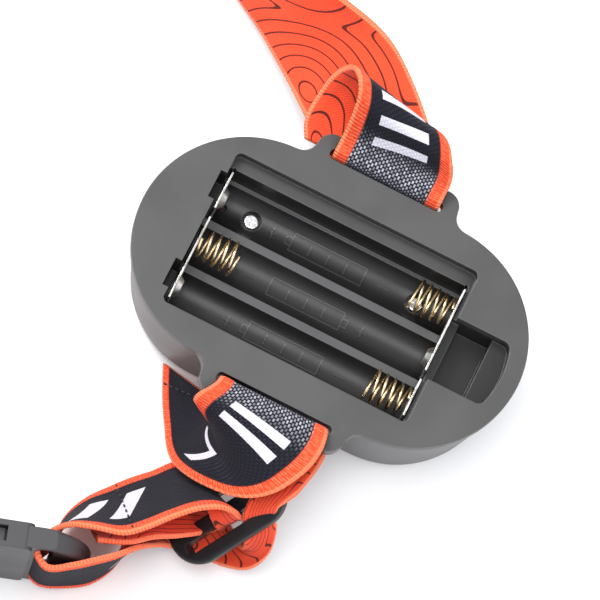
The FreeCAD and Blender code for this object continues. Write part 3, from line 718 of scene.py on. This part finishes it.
def markBar(work, rowAt, x0, y0, x1, y1):
    # flat bar in the unrolled channel, wrapped on to its round floor
    width = marks["line"]
    run = Vector((x1 - x0, y1 - y0, 0.0))
    steps = max(2, int(run.length / (0.5 * mm)))
    made = bmesh.ops.create_grid(work, x_segments=steps, y_segments=1, size=0.5)
    angle = math.atan2(run.y, run.x)
    spread = Matrix.Diagonal((run.length + width, width, 1.0, 1.0))
    place = Matrix.Translation(((x0 + x1) / 2, (y0 + y1) / 2, 0.0)) @ Matrix.Rotation(angle, 4, "Z") @ spread
    bmesh.ops.transform(work, matrix=place, verts=made["verts"])
    radius = marks["radius"] - 0.5 * marks["raise"]
    for vert in made["verts"]:
        turn = vert.co.y / radius
        vert.co = Vector((vert.co.x, rowAt + radius * math.sin(turn),
                          marks["centreHeight"] - radius * math.cos(turn)))


def markChannel(work, rowAt, plusLeft):
    half = marks["signHalf"]
    plusX = marks["signLeft"] if plusLeft else marks["signRight"]
    minusX = marks["signRight"] if plusLeft else marks["signLeft"]
    markBar(work, rowAt, plusX - half, 0, plusX + half, 0)
    markBar(work, rowAt, plusX, -half, plusX, half)
    markBar(work, rowAt, minusX - half, 0, minusX + half, 0)
    left, right, tall = marks["boxLeft"], marks["boxRight"], marks["boxHalf"]
    markBar(work, rowAt, left, -tall, right, -tall)
    markBar(work, rowAt, left, tall, right, tall)
    markBar(work, rowAt, left, -tall, left, tall)
    markBar(work, rowAt, right, -tall, right, tall)
    # the cell's nub at its plus end, and three charge bars
    end, way = (left, -1) if plusLeft else (right, 1)
    nub = end + way * 1.3 * mm
    markBar(work, rowAt, end, -0.9 * mm, nub, -0.9 * mm)
    markBar(work, rowAt, end, 0.9 * mm, nub, 0.9 * mm)
    markBar(work, rowAt, nub, -0.9 * mm, nub, 0.9 * mm)
    for k in range(3):
        x = (left + right) / 2 + (k - 1) * 4.2 * mm
        markBar(work, rowAt, x, -1.1 * mm, x, 1.1 * mm)


work = bmesh.new()
for k, rowAt in enumerate(marks["rows"]):
    markChannel(work, rowAt, k != 1)
cellMarks = newPiece("cell_marks", work)
raised = cellMarks.modifiers.new("raised", "SOLIDIFY")
raised.thickness = marks["raise"]
raised.offset = 0.0
markPlastic = mouldedPlastic("mark_plastic", (0.030, 0.030, 0.031), 0.3, 0.00001, 0.08 * mm)
cellMarks.data.materials.append(markPlastic)
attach(cellMarks, "root")
print("bay marks made")


studio = {
    "floor": (0.92, 0.92, 0.925),
    "world": (0.95, 0.965, 1.0),
    "worldPower": 0.72,
    "elevation": 72.04,
    "roll": 26.8,
    "aim": (-0.00488, -0.0048, 0.027),
    "distance": 0.9,
    "viewWidth": 0.125,
}

work = bmesh.new()
bmesh.ops.create_grid(work, x_segments=1, y_segments=1, size=4.0)
floor = newPiece("floor", work)
floor.data.transform(Matrix.Translation((0, 0, -0.05 * mm)))
floor.data.materials.append(newFinish("floor_paper", studio["floor"], 0.9)[0])

world = bpy.data.worlds.new("studio")
world.use_nodes = True
bpy.context.scene.world = world
sky = world.node_tree.nodes["Background"]
sky.inputs[0].default_value = (*studio["world"], 1.0)
sky.inputs[1].default_value = studio["worldPower"]


def areaLight(name, place, aim, size, power, colour=(1.0, 1.0, 1.0)):
    lamp = bpy.data.lights.new(name, "AREA")
    lamp.shape = "DISK"
    lamp.size = size
    lamp.energy = power
    lamp.color = colour
    stand = bpy.data.objects.new(name, lamp)
    bpy.context.scene.collection.objects.link(stand)
    stand.location = place
    stand.rotation_euler = (Vector(aim) - Vector(place)).to_track_quat("-Z", "Y").to_euler()


areaLight("key", (-0.75, 0.35, 0.95), (0, 0, 0.02), 0.55, 14.0, (1.0, 0.99, 0.97))
areaLight("fill", (0.8, -0.5, 0.7), (0, 0, 0.02), 0.8, 4.0, (0.95, 0.97, 1.0))
areaLight("top", (-0.1, -0.2, 1.2), (0, 0, 0.02), 0.7, 6.5)
areaLight("near", (0.30, 0.12, 0.22), (0.02, 0, 0.02), 0.16, 0.22)

camera = bpy.data.cameras.new("camera")
camera.sensor_width = 36.0
camera.lens = 36.0 * studio["distance"] / studio["viewWidth"]
camera.clip_start = 0.01
camera.clip_end = 50.0
viewer = bpy.data.objects.new("camera", camera)
bpy.context.scene.collection.objects.link(viewer)
tilt = math.radians(studio["elevation"])
roll = math.radians(studio["roll"])
levelRight = Vector((1, 0, 0))
levelUp = Vector((0, math.sin(tilt), math.cos(tilt)))
back = Vector((0, -math.cos(tilt), math.sin(tilt)))
right = levelRight * math.cos(roll) + levelUp * math.sin(roll)
up = levelUp * math.cos(roll) - levelRight * math.sin(roll)
turn = Matrix((right, up, back)).transposed().to_4x4()
viewer.matrix_world = Matrix.Translation(Vector(studio["aim"]) + back * studio["distance"]) @ turn
bpy.context.scene.camera = viewer
bpy.context.scene.view_settings.view_transform = "Standard"
print("studio ready")
